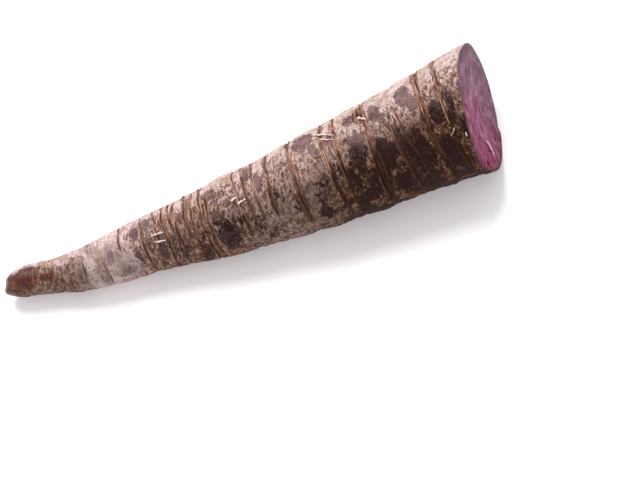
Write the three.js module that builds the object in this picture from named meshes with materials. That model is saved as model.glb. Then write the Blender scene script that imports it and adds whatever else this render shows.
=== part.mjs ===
// A black carrot: one tapering taproot with its crown sliced off, lying on its side on a table.
//
// Units are millimetres and +Z is up. The root runs along X, from its tip at -X to the cut at +X,
// and the origin is on the table under the middle of the root.
//
// The skin is one surface over two parameters: `along`, the share of the length from the tip (0)
// to the cut (1), and `turn`, the angle round the axis. Growth rings are rows of that surface.
import * as THREE from "three";

// Driving dimensions.
const LENGTH = 201; // from the tip to the middle of the cut, along the axis
const CUT_RADIUS = 25.3; // mean radius of the cut end, the thickest place
const TIP_CAP = 6; // length of the blunt rounded end

// Mesh density.
const SEGMENTS = 52; // round the axis
const ROW_STEP = 4.4; // furthest distance between two rows
const CAP_ROWS = 4; // rows in the rounded tip
const CUT_SHARES = [0.8, 0.55, 0.3]; // rows on the cut, as shares of its radius

// How the root lies. Angle 0 is its show side, 90 degrees is its shoulder side.
const UPPER_SIDE = THREE.MathUtils.degToRad(30); // the angle that points straight up
const PITCH = THREE.MathUtils.degToRad(4); // how far the axis climbs from the tip to the cut
const REST_FLAT = 0.7; // how far the skin presses flat where it touches the table

// Radius along the root, as [share of the length, share of the cut's radius].
const TAPER = [
  [0, 0.219], [0.05, 0.233], [0.13, 0.301], [0.21, 0.394], [0.31, 0.447], [0.45, 0.583],
  [0.58, 0.681], [0.7, 0.768], [0.84, 0.841], [0.94, 0.915], [1, 1],
];

// Sideways wander of the centre line in millimetres, as [share of the length, offset].
const SHOULDER_WANDER = [
  [0, -1], [0.05, -2.1], [0.13, -5], [0.21, -5.4], [0.31, -5], [0.45, -5.2],
  [0.58, -4.6], [0.7, -3.6], [0.84, -1.8], [0.93, -0.3], [1, 0.9],
];
const SHOW_WANDER = [
  [0, -2.6], [0.05, -2], [0.13, -1.3], [0.31, -0.6], [0.45, 0.3], [0.58, 0.5],
  [0.7, 0.8], [0.84, -0.6], [0.93, -1.4], [1, -1.3],
];

// How far the growth rings, and the cut, lean towards the show side, as [share, slope].
const SHOW_LEAN = [[0, 0.03], [0.3, 0.02], [0.85, 0], [0.94, -0.05], [1, -0.13]];

// Growth rings: share of the length, lean towards the shoulder side, depth of the crease in
// millimetres, the angle where it is deepest and the angle over which it fades out.
const RINGS = [
  [0.102, -0.04, 0.2, 65, 50],
  [0.166, 0.02, 0.35, 0, 110],
  [0.208, -0.03, 0.35, 0, 110],
  [0.253, -0.03, 0.45, 45, 70],
  [0.3, -0.015, 0.5, 0, 120],
  [0.331, -0.02, 0.4, 45, 70],
  [0.35, 0, 0.5, 5, 110],
  [0.365, -0.02, 0.3, 45, 50],
  [0.374, 0.04, 0.4, 20, 80],
  [0.397, 0.04, 0.35, 35, 70],
  [0.41, 0.08, 0.35, 15, 80],
  [0.431, 0.02, 0.55, 0, 120],
  [0.443, 0.06, 0.5, -20, 90],
  [0.512, -0.02, 0.5, 20, 80],
  [0.53, 0, 0.5, 30, 80],
  [0.549, 0.01, 0.5, 40, 80],
  [0.578, 0.06, 0.5, 35, 80],
  [0.631, -0.01, 0.8, 30, 100],
  [0.706, -0.02, 0.6, 30, 90],
  [0.729, 0, 0.6, 35, 100],
  [0.796, -0.01, 0.75, 30, 120],
  [0.843, -0.13, 0.5, -15, 55],
  [0.868, -0.18, 0.5, 0, 50],
  [0.918, -0.07, 0.75, 30, 130],
  [0.96, -0.06, 0.7, 20, 130],
];
const TIP_LEAN = 0.06; // lean towards the shoulder side at the tip
const CUT_LEAN = 0.13; // and at the cut
const CREASE_WIDTH = 0.6; // half width of a crease
const BACK_SHARE = 0.8; // depth of a crease's second arc, on the far side, as a share of its first
const BACK_REACH = 85; // half angle of that second arc, in degrees
const SWELL = 0.6; // bulge of the skin between two rings that are SWELL_GAP apart
const SWELL_GAP = 14;

// The cut isn't quite flat: its rim stands out at the heel, where the knife came out of the root,
// and all along the far side. Each rise is its height, its angle round the rim and the half angle
// over which it fades out.
const RIM_RISES = [[2.8, -120, 55], [1.9, 145, 105]];
const RISE_START = 0.96; // share of the length where the skin starts to bend into them
const FLAT_SHARE = 0.3; // share of the cut's radius that stays flat

// A smooth curve through [position, value] stations: a cubic Hermite whose slope at a station is
// that of the line between its two neighbours.
function curveThrough(stations, at) {
  const last = stations.length - 1;
  let i = 0;
  while (i < last - 1 && at > stations[i + 1][0]) i += 1;
  const slope = (k) => {
    const before = stations[Math.max(k - 1, 0)];
    const after = stations[Math.min(k + 1, last)];
    return (after[1] - before[1]) / (after[0] - before[0]);
  };
  const [x0, y0] = stations[i];
  const [x1, y1] = stations[i + 1];
  const span = x1 - x0;
  const t = THREE.MathUtils.clamp((at - x0) / span, 0, 1);
  const rise = t * t * (3 - 2 * t);
  const leave = t * (1 - t) * (1 - t) * span * slope(i);
  const arrive = t * t * (t - 1) * span * slope(i + 1);
  return y0 + (y1 - y0) * rise + leave + arrive;
}

// 1 at the middle of an arc, falling smoothly to 0 where it ends.
function arc(turn, middle, reach) {
  const away = Math.abs(THREE.MathUtils.euclideanModulo(turn - middle + 180, 360) - 180);
  const inside = THREE.MathUtils.clamp(1 - away / reach, 0, 1);
  return THREE.MathUtils.smoothstep(inside, 0, 0.5);
}

// The two rings on either side of a place, and how far it is from the first to the second.
const RING_STOPS = [[0, TIP_LEAN], ...RINGS.map(([at, lean]) => [at, lean]), [1, CUT_LEAN]];
function between(along) {
  const next = Math.max(RING_STOPS.findIndex(([at]) => at >= along), 1);
  const [before, after] = [RING_STOPS[next - 1], RING_STOPS[next]];
  return { before, after, share: (along - before[0]) / (after[0] - before[0]) };
}

// Lean of the rows towards the shoulder side.
function shoulderLean(along) {
  const { before, after, share } = between(along);
  return THREE.MathUtils.lerp(before[1], after[1], share);
}

// The bulge of the skin between two rings.
function swelling(along) {
  const { before, after, share } = between(along);
  const gap = (after[0] - before[0]) * LENGTH;
  return SWELL * Math.min(gap / SWELL_GAP, 1) * Math.sin(Math.PI * share);
}

// Depth of one ring's crease at an angle: its own arc, and a second one on the far side.
function creaseDepth(ring, index, turn) {
  const [, , depth, middle, reach] = ring;
  const farSide = 185 + 55 * Math.sin(2.4 * index);
  return depth * Math.max(arc(turn, middle, reach), BACK_SHARE * arc(turn, farSide, BACK_REACH));
}

// The slight lobes that make the section not quite round.
function lobes(along, turn) {
  return (
    1 +
    0.014 * Math.cos(2 * turn - 0.6 + 3 * along) +
    0.01 * Math.cos(3 * turn + 1.1 - 5 * along) +
    0.006 * Math.cos(5 * turn + 2 + 9 * along)
  );
}

function radiusAt(along, turn) {
  const cap = Math.min((along * LENGTH) / TIP_CAP, 1);
  const rounding = Math.sqrt(1 - (1 - cap) ** 2);
  const degrees = THREE.MathUtils.radToDeg(turn);
  let radius = CUT_RADIUS * curveThrough(TAPER, along) * lobes(along, turn) + swelling(along);
  RINGS.forEach((ring, index) => {
    const off = ((along - ring[0]) * LENGTH) / CREASE_WIDTH;
    radius -= creaseDepth(ring, index, degrees) * Math.exp(-off * off);
  });
  return radius * rounding;
}

// How far the rim of the cut stands out past its flat at an angle.
function rimRise(turn) {
  return Math.max(...RIM_RISES.map(([height, middle, reach]) => height * arc(turn, middle, reach)));
}

// A point at a share of the radius, with X along the root, Y to its shoulder side and Z to its
// show side. A share of 1 is on the skin.
function rootPoint(along, turn, share = 1) {
  const radius = share * radiusAt(along, turn);
  const show = radius * Math.cos(turn);
  const shoulder = radius * Math.sin(turn);
  const lean = curveThrough(SHOW_LEAN, along) * show + shoulderLean(along) * shoulder;
  const rise =
    rimRise(THREE.MathUtils.radToDeg(turn)) *
    THREE.MathUtils.smoothstep(along, RISE_START, 1) *
    THREE.MathUtils.smoothstep(share, FLAT_SHARE, 1);
  return new THREE.Vector3(
    along * LENGTH + lean + rise,
    curveThrough(SHOULDER_WANDER, along) + shoulder,
    curveThrough(SHOW_WANDER, along) + show,
  );
}

// Rows of the surface from the tip to the middle of the cut, as [along, share of the radius].
// Every ring is a row, and the stretches between are divided evenly.
function rowPlaces() {
  const cap = TIP_CAP / LENGTH;
  const places = [];
  for (let k = 1; k <= CAP_ROWS; k += 1) {
    places.push(cap * (1 - Math.cos((k / CAP_ROWS) * (Math.PI / 2))));
  }
  for (const [stop] of RING_STOPS.slice(1)) {
    const from = places[places.length - 1];
    const steps = Math.max(2, Math.ceil(((stop - from) * LENGTH) / ROW_STEP));
    for (let k = 1; k <= steps; k += 1) places.push(from + ((stop - from) * k) / steps);
  }
  return [...places.map((along) => [along, 1]), ...CUT_SHARES.map((share) => [1, share])];
}

// The closed surface: a pole at the tip, the rows of skin, the rows on the cut and a pole at its
// middle.
function rootSurface() {
  const rows = rowPlaces();
  const points = [rootPoint(0, 0)];
  for (const [along, share] of rows) {
    for (let s = 0; s < SEGMENTS; s += 1) {
      points.push(rootPoint(along, (s / SEGMENTS) * 2 * Math.PI, share));
    }
  }
  points.push(rootPoint(1, 0, 0));
  const cutMiddle = points.length - 1;
  const lastRow = rows.length - 1;
  const corner = (row, s) => 1 + row * SEGMENTS + (s % SEGMENTS);
  const faces = [];
  for (let s = 0; s < SEGMENTS; s += 1) {
    faces.push(0, corner(0, s), corner(0, s + 1));
    for (let row = 1; row <= lastRow; row += 1) {
      const [a, b] = [corner(row - 1, s), corner(row - 1, s + 1)];
      const [c, d] = [corner(row, s + 1), corner(row, s)];
      faces.push(a, c, b, a, d, c);
    }
    faces.push(cutMiddle, corner(lastRow, s + 1), corner(lastRow, s));
  }
  const geometry = new THREE.BufferGeometry().setFromPoints(points);
  geometry.setIndex(faces);
  return geometry;
}

// Lays the root on the table: turned to its resting side, pitched so that its underside is level,
// centred over the origin, and pressed flat where it would go below the table.
function layDown(geometry) {
  geometry.rotateX(UPPER_SIDE);
  geometry.rotateY(-PITCH);
  geometry.computeBoundingBox();
  const { min, max } = geometry.boundingBox;
  geometry.translate(-(min.x + max.x) / 2, -(min.y + max.y) / 2, -min.z - REST_FLAT);
  const place = geometry.getAttribute("position");
  for (let i = 0; i < place.count; i += 1) place.setZ(i, Math.max(place.getZ(i), 0));
}

function carrotRoot() {
  const geometry = rootSurface();
  layDown(geometry);
  geometry.computeVertexNormals();
  const skin = new THREE.MeshStandardMaterial({ color: 0x8d786c, roughness: 0.75, metalness: 0 });
  const mesh = new THREE.Mesh(geometry, skin);
  mesh.name = "carrot_root";
  return mesh;
}

const carrot = new THREE.Group();
carrot.add(carrotRoot());

export default carrot;
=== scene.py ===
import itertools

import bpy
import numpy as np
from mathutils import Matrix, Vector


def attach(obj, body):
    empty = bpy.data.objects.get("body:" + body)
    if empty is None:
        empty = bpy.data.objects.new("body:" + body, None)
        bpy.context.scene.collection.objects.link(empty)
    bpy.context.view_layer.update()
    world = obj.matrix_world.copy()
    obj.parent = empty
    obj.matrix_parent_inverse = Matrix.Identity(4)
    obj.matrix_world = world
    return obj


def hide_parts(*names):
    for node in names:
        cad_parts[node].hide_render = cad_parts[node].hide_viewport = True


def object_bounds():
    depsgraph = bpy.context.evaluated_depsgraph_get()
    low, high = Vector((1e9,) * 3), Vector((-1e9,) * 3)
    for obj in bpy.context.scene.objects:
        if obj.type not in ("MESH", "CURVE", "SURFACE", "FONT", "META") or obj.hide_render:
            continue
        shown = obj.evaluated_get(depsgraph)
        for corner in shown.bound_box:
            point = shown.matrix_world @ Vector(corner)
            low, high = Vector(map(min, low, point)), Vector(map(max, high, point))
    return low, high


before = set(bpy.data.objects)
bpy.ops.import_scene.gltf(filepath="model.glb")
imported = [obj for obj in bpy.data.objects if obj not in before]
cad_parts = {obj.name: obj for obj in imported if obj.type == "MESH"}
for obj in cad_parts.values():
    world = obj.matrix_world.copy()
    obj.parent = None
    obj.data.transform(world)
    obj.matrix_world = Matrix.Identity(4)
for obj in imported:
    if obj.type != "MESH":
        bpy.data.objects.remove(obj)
cad_low, cad_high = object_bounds()

# A black carrot root with its crown sliced off, lying on its side on a pale floor.
#
# Shapes are worked out in millimetres on the root itself: `along` is the share of the length from
# the tip (0) to the cut (1), and `turn` is the angle round the axis, 0 on the show side and 90
# degrees on the shoulder side. lay_down() then puts them into the row frame, in metres.

MM = 0.001

# ---- the root's driving dimensions

LENGTH = 201.0
CUT_RADIUS = 25.3
TIP_CAP = 6.0
UPPER_SIDE = np.radians(30)
PITCH = np.radians(4)
REST_FLAT = 0.7

# Radius along the root: share of the length, share of the cut's radius.
TAPER = [
    (0, 0.219), (0.05, 0.233), (0.13, 0.301), (0.21, 0.394), (0.31, 0.447), (0.45, 0.583),
    (0.58, 0.681), (0.7, 0.768), (0.84, 0.841), (0.94, 0.915), (1, 1),
]

# Wander of the centre line: share of the length, offset in millimetres.
SHOULDER_WANDER = [
    (0, -1), (0.05, -2.1), (0.13, -5), (0.21, -5.4), (0.31, -5), (0.45, -5.2),
    (0.58, -4.6), (0.7, -3.6), (0.84, -1.8), (0.93, -0.3), (1, 0.9),
]
SHOW_WANDER = [
    (0, -2.6), (0.05, -2), (0.13, -1.3), (0.31, -0.6), (0.45, 0.3), (0.58, 0.5),
    (0.7, 0.8), (0.84, -0.6), (0.93, -1.4), (1, -1.3),
]
SHOW_LEAN = [(0, 0.03), (0.3, 0.02), (0.85, 0), (0.94, -0.05), (1, -0.13)]

# Growth rings: share of the length, lean towards the shoulder side, depth of the crease in
# millimetres, angle where it is deepest, angle over which it fades, half width of its rusty band
# and how far its dark line lies from the middle of the band, both in millimetres.
RINGS = np.array([
    (0.102, -0.04, 0.2, 65, 50, 1.0, 0),
    (0.166, 0.02, 0.35, 0, 110, 0.6, 0),
    (0.208, -0.03, 0.35, 0, 110, 0.6, 0.2),
    (0.253, -0.03, 0.45, 45, 70, 0.7, 0.2),
    (0.3, -0.015, 0.5, 0, 120, 0.8, 0.2),
    (0.331, -0.02, 0.4, 45, 70, 0.7, 0),
    (0.35, 0, 0.5, 5, 110, 1.0, -0.3),
    (0.365, -0.02, 0.3, 45, 50, 0.6, 0),
    (0.374, 0.04, 0.4, 20, 80, 0.8, 0.2),
    (0.397, 0.04, 0.35, 35, 70, 1.0, 0),
    (0.41, 0.08, 0.35, 15, 80, 0.7, 0.2),
    (0.431, 0.02, 0.55, 0, 120, 1.1, -0.2),
    (0.443, 0.06, 0.5, -20, 90, 0.8, 0.2),
    (0.512, -0.02, 0.5, 20, 80, 0.8, -0.4),
    (0.53, 0, 0.5, 30, 80, 0.8, -0.3),
    (0.549, 0.01, 0.5, 40, 80, 0.8, -0.3),
    (0.578, 0.06, 0.5, 35, 80, 1.2, -0.3),
    (0.631, -0.01, 0.8, 30, 100, 1.7, 0.3),
    (0.706, -0.02, 0.6, 30, 90, 1.3, -0.3),
    (0.729, 0, 0.6, 35, 100, 1.1, 0.3),
    (0.796, -0.01, 0.75, 30, 120, 1.6, -0.8),
    (0.843, -0.13, 0.5, -15, 55, 1.0, 0.7),
    (0.868, -0.18, 0.5, 0, 50, 0.8, 0.6),
    (0.918, -0.07, 0.75, 30, 130, 1.8, 0.3),
    (0.96, -0.06, 0.7, 20, 130, 1.1, 0.7),
])
RING_AT, RING_LEAN, RING_DEPTH, RING_MIDDLE, RING_REACH, RING_BAND, RING_LINE = RINGS.T
TIP_LEAN = 0.06
CUT_LEAN = 0.13
# Every ring has a second arc on the far side: its share of the depth, how far it reaches, the
# middle angle and how much that varies from ring to ring.
BACK_SHARE = 0.8
BACK_REACH = 85
BACK_MIDDLE = 185
BACK_SPREAD = 55
# The skin swells between two rings by SWELL millimetres, or less where they are under SWELL_GAP
# apart.
SWELL = 0.6
SWELL_GAP = 14.0

# The rim of the cut stands out at the heel and along the far side: height in millimetres, angle
# and half angle of each rise. RIM_ROUND is the radius of the worn edge round the cut.
RIM_RISES = [(2.8, -120, 55), (1.9, 145, 105)]
RISE_START = 0.96
FLAT_SHARE = 0.3
RIM_ROUND = 0.45

# The tip ends in two knobs with a fold between them: how far each stands out, its place across
# the tip and its half width, in millimetres.
TIP_KNOBS = np.array([3.2, 1.5])
KNOB_PLACES = np.array([-2.4, 3.2])
KNOB_WIDTHS = np.array([3.3, 2.3])
KNOB_FADE = 0.025

# Slight lobes that make the section not quite round: share of the radius, waves round the axis,
# angle of the first crest and how far it turns along the root, in radians.
LOBES = [(0.014, 2, -0.6, 3), (0.01, 3, 1.1, -5), (0.006, 5, 2, 9)]
# How a ring wavers along the axis as it goes round: millimetres, waves round the axis, and turn
# along the root in radians. It fades out over the first and last shares of the length.
WAVERS = [(0.28, 3, 40), (0.14, 7, -90)]
WAVER_STARTS = (0.04, 0.2)
WAVER_ENDS = 0.04

# Mesh: points round the axis, furthest distance between rows, and rows beside every ring.
SEGMENTS = 224
ROW_STEP = 0.72
RING_ROWS = (0, -0.25, 0.25, -0.55, 0.55, -0.95, 0.95, -1.5, 1.5)
ROW_GAP = 0.2
CAP_ROWS = 18
CUT_ROWS = 34


# ---- fields on the root

def curve_through(stations, at):
    """A smooth curve through (place, value) stations: on each span a cubic whose slope at a
    station is that of the line between the station's two neighbours."""
    place, value = np.array(stations, dtype=float).T
    slope = np.gradient(value, place)
    slope[1:-1] = (value[2:] - value[:-2]) / (place[2:] - place[:-2])
    i = np.clip(np.searchsorted(place, at) - 1, 0, len(place) - 2)
    span = place[i + 1] - place[i]
    t = np.clip((at - place[i]) / span, 0, 1)
    rise = value[i] + (value[i + 1] - value[i]) * t * t * (3 - 2 * t)
    return rise + span * t * (1 - t) * ((1 - t) * slope[i] - t * slope[i + 1])


def ease(value, low, high):
    """0 below low, 1 above high, and 3t^2 - 2t^3 between."""
    t = np.clip((value - low) / (high - low), 0, 1)
    return t * t * (3 - 2 * t)


def arc(turn, middle, reach):
    """1 round the middle angle, easing to 0 at reach degrees from it."""
    away = np.abs((turn - middle + 180) % 360 - 180)
    return ease(1 - away / reach, 0, 0.5)


def bell(value, width):
    """exp of minus the square of value over width."""
    return np.exp(-((value / width) ** 2))


def drift(points, size, seed):
    """A smooth random field from -1 to 1: random numbers on the corners of a cubic lattice,
    size millimetres apart, blended between the corners by 3t^2 - 2t^3."""
    table = np.random.default_rng(seed).uniform(-1, 1, (64, 64, 64))
    cell = np.floor(points / size)
    t = points / size - cell
    t = t * t * (3 - 2 * t)
    cell = cell.astype(int)
    field = np.zeros(points.shape[:-1])
    for corner in itertools.product((0, 1), repeat=3):
        weight = np.prod(np.where(corner, t, 1 - t), axis=-1)
        i, j, k = np.moveaxis((cell + corner) % 64, -1, 0)
        field += weight * table[i, j, k]
    return field


def crumple(points, size, seed, layers=4):
    """Drift at a size, plus half as much at half the size, and so on."""
    return sum(drift(points, size / 2**k, seed + k) / 2**k for k in range(layers))


def spot(along, turn, at, middle, half_length, half_turn):
    """1 in the middle of an oval spot, falling evenly to 0 on its edge and below 0 outside it.
    Its half length is in millimetres and its half turn in degrees."""
    lengthways = (along - at) * LENGTH / half_length
    round_way = ((turn - middle + 180) % 360 - 180) / half_turn
    return 1 - np.hypot(lengthways, round_way)


def back_middle(number):
    """Middle angle of a ring's second arc: BACK_MIDDLE plus a sine of the ring's number."""
    return BACK_MIDDLE + BACK_SPREAD * np.sin(2.4 * number)


def ring_strength(turn):
    """How deep each ring's crease is at an angle, from 0 to 1: its own arc, a second arc on the
    far side, and an uneven share of both."""
    number = np.arange(len(RINGS))[:, None]
    own = arc(turn, RING_MIDDLE[:, None], RING_REACH[:, None])
    far = BACK_SHARE * arc(turn, back_middle(number), BACK_REACH)
    uneven = 0.82 + 0.18 * np.sin(np.radians(turn) * (3 + number % 4) + 1.7 * number)
    return np.maximum(own, far) * uneven


def lobes(along, turn):
    """Share of the radius at each place: 1, plus a cosine round the axis for each lobe."""
    angle = np.radians(turn)
    waves = [
        size * np.cos(count * angle + crest + twist * along)
        for size, count, crest, twist in LOBES
    ]
    return 1 + sum(waves)


def swelling(along):
    """The bulge of the skin between two rings: half a sine wave, lower where they are close."""
    stops = np.concatenate([[0], RING_AT, [1]])
    after = np.clip(np.searchsorted(stops, along), 1, len(stops) - 1)
    gap = stops[after] - stops[after - 1]
    share = (along - stops[after - 1]) / gap
    return SWELL * np.minimum(gap * LENGTH / SWELL_GAP, 1) * np.sin(np.pi * share)


def plain_radius(along, turn):
    """Radius of the root without its creases, with the tip rounded over as a quarter ellipse."""
    cap = np.minimum(along * LENGTH / TIP_CAP, 1)
    body = CUT_RADIUS * curve_through(TAPER, along) * lobes(along, turn) + swelling(along)
    return body * np.sqrt(1 - (1 - cap) ** 2)


def root_points(along, turn, share=1.0, relief=0.0, knobby=1.0):
    """Points of the root: the centre line, plus the radius (times a share, plus a relief in
    millimetres) turned round it, each row sheared along the axis by its two leans and wavering a
    little. With knobby at 0 the tip has no knobs."""
    angle = np.radians(turn)
    radius = share * (plain_radius(along, turn) + relief)
    show, shoulder = radius * np.cos(angle), radius * np.sin(angle)
    stops = np.concatenate([[0], RING_AT, [1]])
    leans = np.concatenate([[TIP_LEAN], RING_LEAN, [CUT_LEAN]])
    lean = curve_through(SHOW_LEAN, along) * show + np.interp(along, stops, leans) * shoulder
    waver = sum(size * np.sin(waves * angle + twist * along) for size, waves, twist in WAVERS)
    waver = waver * ease(along, *WAVER_STARTS) * ease(1 - along, 0, WAVER_ENDS)
    rise = np.max([height * arc(turn, *place) for height, *place in RIM_RISES], axis=0)
    rise = rise * ease(along, RISE_START, 1) * ease(share, FLAT_SHARE, 1)
    knobs = TIP_KNOBS * bell(shoulder[..., None] - KNOB_PLACES, KNOB_WIDTHS)
    knobs = knobby * knobs.sum(axis=-1) * ease(TIP_CAP / LENGTH - along, 0, KNOB_FADE)
    return np.stack([
        along * LENGTH + lean + waver + rise - knobs,
        curve_through(SHOULDER_WANDER, along) + shoulder,
        curve_through(SHOW_WANDER, along) + show,
    ], axis=-1)


def turned_and_pitched(points):
    """Turns the root about its axis to its resting side, then pitches the axis up to the cut."""
    x, y, z = np.moveaxis(points, -1, 0)
    y, z = (
        y * np.cos(UPPER_SIDE) - z * np.sin(UPPER_SIDE),
        y * np.sin(UPPER_SIDE) + z * np.cos(UPPER_SIDE),
    )
    x, z = x * np.cos(PITCH) - z * np.sin(PITCH), x * np.sin(PITCH) + z * np.cos(PITCH)
    return np.stack([x, y, z], axis=-1)


def resting_offset():
    """What moves the turned and pitched root to where the CAD has it: the box of the surface
    without its knobs, which the CAD leaves off, is centred on the CAD's, and its lowest point
    goes REST_FLAT below the table."""
    along, turn = np.meshgrid(np.linspace(0, 1, 400), np.arange(0, 360, 3), indexing="ij")
    plain = turned_and_pitched(root_points(along, turn, knobby=0.0)).reshape(-1, 3)
    low, high = plain.min(axis=0), plain.max(axis=0)
    cad_centre = (np.array(cad_low) + np.array(cad_high)) / 2 / MM
    offset = cad_centre - (low + high) / 2
    offset[2] = np.array(cad_low)[2] / MM - low[2] - REST_FLAT
    return offset


RESTING_OFFSET = resting_offset()


def lay_down(points):
    """Points of the root in the row frame, in metres, and pressed flat where they would go below
    the table."""
    laid = turned_and_pitched(points) + RESTING_OFFSET
    laid[..., 2] = np.maximum(laid[..., 2], 0)
    return laid * MM


# ---- skin: what lies where

# Smooth bare patches where the corky skin is missing: share of the length, angle, half length in
# millimetres, half turn in degrees.
BARE_PATCHES = [
    (0.89, 45, 3.0, 15), (0.902, 32, 2.2, 10), (0.823, 42, 3.6, 13), (0.833, 34, 2.0, 7),
    (0.768, 12, 3.4, 20), (0.813, -4, 3.6, 20), (0.765, 50, 3.0, 8), (0.94, 12, 3.0, 14),
    (0.97, 12, 2.4, 18), (0.852, 8, 2.0, 12), (0.866, -18, 3.0, 13), (0.89, -18, 3.0, 16),
    (0.93, -30, 4.5, 18), (0.665, 54, 4.6, 17), (0.683, 36, 2.0, 8), (0.718, 36, 1.4, 8),
    (0.557, 26, 2.0, 14), (0.538, 52, 1.6, 16), (0.287, 32, 1.7, 15), (0.461, 2, 2.0, 14),
    (0.473, -30, 4.2, 26), (0.45, 44, 3.2, 11), (0.465, 28, 2.0, 8), (0.401, 45, 1.8, 16),
    (0.312, 42, 2.0, 20), (0.336, -18, 2.0, 24), (0.374, -32, 1.8, 22), (0.285, -10, 1.2, 22),
    (0.415, -53, 2.2, 26), (0.62, 150, 5, 30), (0.8, 190, 6, 34), (0.9, 140, 4, 22),
    (0.5, 210, 4, 36), (0.35, 160, 3, 40), (0.74, 245, 6, 34), (0.95, 215, 4, 26),
]
# Faint lilac shadows in the pale skin of the thin part.
LILAC_PATCHES = [
    (0.228, 12, 3.2, 24), (0.2, -12, 2.6, 60), (0.16, -8, 2.6, 62), (0.247, -38, 4, 16),
    (0.243, 5, 1.6, 26), (0.145, 30, 1.6, 22), (0.185, 45, 2.2, 26), (0.13, 62, 2, 20),
]
# How readily the skin is bare along the root, from the tip to the cut.
BARENESS = [
    (0, 0), (0.12, 0.05), (0.25, 0.2), (0.33, 0.42), (0.45, 0.42), (0.6, 0.35), (0.8, 0.4),
    (1, 0.35),
]
# How dark the underside is along the root, and the angle at which it starts to darken: partly
# the root's own dark skin, partly painted shade. It is darkest round the DARK_SIDE angle and
# darkens over DUSK_BLEND degrees.
DARK_SIDE = -100
DUSK_BLEND = 42
DUSKINESS = [
    (0, 1), (0.025, 0.9), (0.05, 0.5), (0.1, 0.62), (0.15, 0.5), (0.18, 0.22), (0.25, 0.22),
    (0.33, 0.33), (0.47, 0.5), (0.6, 0.6), (0.72, 0.95), (1, 1),
]
DUSK_START = [
    (0, 70), (0.03, 55), (0.14, 50), (0.2, 36), (0.3, 30), (0.5, 32), (0.7, 32), (1, 40),
]
# How yellow-brown the skin is along the root, how pink, and how thickly mottled with brown.
OCHRE = [
    (0, 0.8), (0.1, 0.8), (0.17, 0.15), (0.27, 0.45), (0.36, 1), (0.48, 0.9), (0.56, 0.35),
    (0.7, 0.4), (0.9, 0.5), (1, 0.5),
]
BLUSH = [(0, 0.6), (0.1, 0.7), (0.16, 1), (0.26, 0.8), (0.34, 0.3), (0.5, 0.4), (1, 0.3)]
MOTTLING = [
    (0, 0.5), (0.1, 0.7), (0.15, 0.6), (0.19, 0.1), (0.25, 0.35), (0.31, 0.85), (0.48, 0.85),
    (0.58, 0.65), (0.7, 0.7), (0.8, 0.75), (1, 0.75),
]
# The mottling thins to MOTTLED_LEAST of itself far from the dark side, over these angles, so the
# skin is duller and more mottled away from the upper side: partly the skin's own brown mottles,
# partly painted shade.
MOTTLED_LEAST = 0.28
MOTTLED_BLEND = (128, 164)
# Glossy brown wounds on the tip: share of the length, angle, half length, half turn.
WOUNDS = [
    (0.043, 8, 4.6, 38), (0.052, 26, 3.0, 24), (0.083, 2, 2.6, 13), (0.006, -50, 2.8, 66),
    (0.02, 215, 4, 40), (0, 0, 3.2, 400),
]
# Scar of a torn rootlet in the crease nearest the middle of the shoulder, measured the same way,
# and how deep its hole is and how high its lip, in millimetres. Its hole is painted dark with the
# creases' painted shadow.
SCAR = (0.788, 53, 1.8, 9)
SCAR_HOLE = 1.5
SCAR_LIP = 0.35

# Across a crease, as place in millimetres, half width and share: its raised edges, and its relief.
# GROOVE_WIDTH is the half width of the crease's dark line, a painted shadow; the raised edges carry
# a painted highlight over frayed skin.
GROOVE_WIDTH = 0.26
LIPS = [(-0.65, 0.3, 1.0), (0.7, 0.3, 0.6)]
CREASE_PROFILE = [(0.0, 0.36, -0.6), (-0.8, 0.45, 0.4), (0.85, 0.45, 0.3)]
# Creases are faint in the thin part: their share there, and where they become full.
THIN_SHARE = 0.35
FULL_CREASES = (0.22, 0.31)
# Relief of the skin in millimetres: dents, pimples, the edge of the cork, and swollen wounds.
DENTS = 0.3
PIMPLES = 0.09
CORK_THICKNESS = 0.13
WOUND_SWELLING = 0.25


def strongest_spot(along, turn, table):
    """The strongest of a table's spots at each place."""
    return np.max([spot(along, turn, *row) for row in table], axis=0)


def across_crease(line, humps):
    """Sum of a crease's bells at a distance from its dark line."""
    return sum(share * bell(line - place, width) for place, width, share in humps)


def crease_fields(along, turn, grain):
    """Groove, lip, band and relief of the growth rings: each ring's profile across its line,
    times its strength at that angle. The strongest ring counts, and the reliefs add up."""
    offset = (along - RING_AT[:, None, None]) * LENGTH
    strength = ring_strength(turn[0])[:, None, :]
    line = offset - RING_LINE[:, None, None]
    shown = THIN_SHARE + (1 - THIN_SHARE) * ease(along, *FULL_CREASES)
    patchy = 0.75 + 0.5 * crumple(grain * (0.5, 1, 1), 5, 81, 3)
    groove = (strength * bell(line, GROOVE_WIDTH)).max(axis=0) * np.clip(patchy, 0, 1) * shown
    lip = (strength * across_crease(line, LIPS)).max(axis=0)
    ragged = RING_BAND[:, None, None] * (1 + 0.5 * crumple(grain, 2.2, 83, 3))
    band = (strength * ease(1 - np.abs(offset) / ragged, 0, 0.5)).max(axis=0)
    band = band * np.clip(patchy + 0.2, 0, 1) * shown
    depth = strength * RING_DEPTH[:, None, None]
    relief = (depth * across_crease(line, CREASE_PROFILE)).sum(axis=0)
    return groove, lip, band, relief


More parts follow.
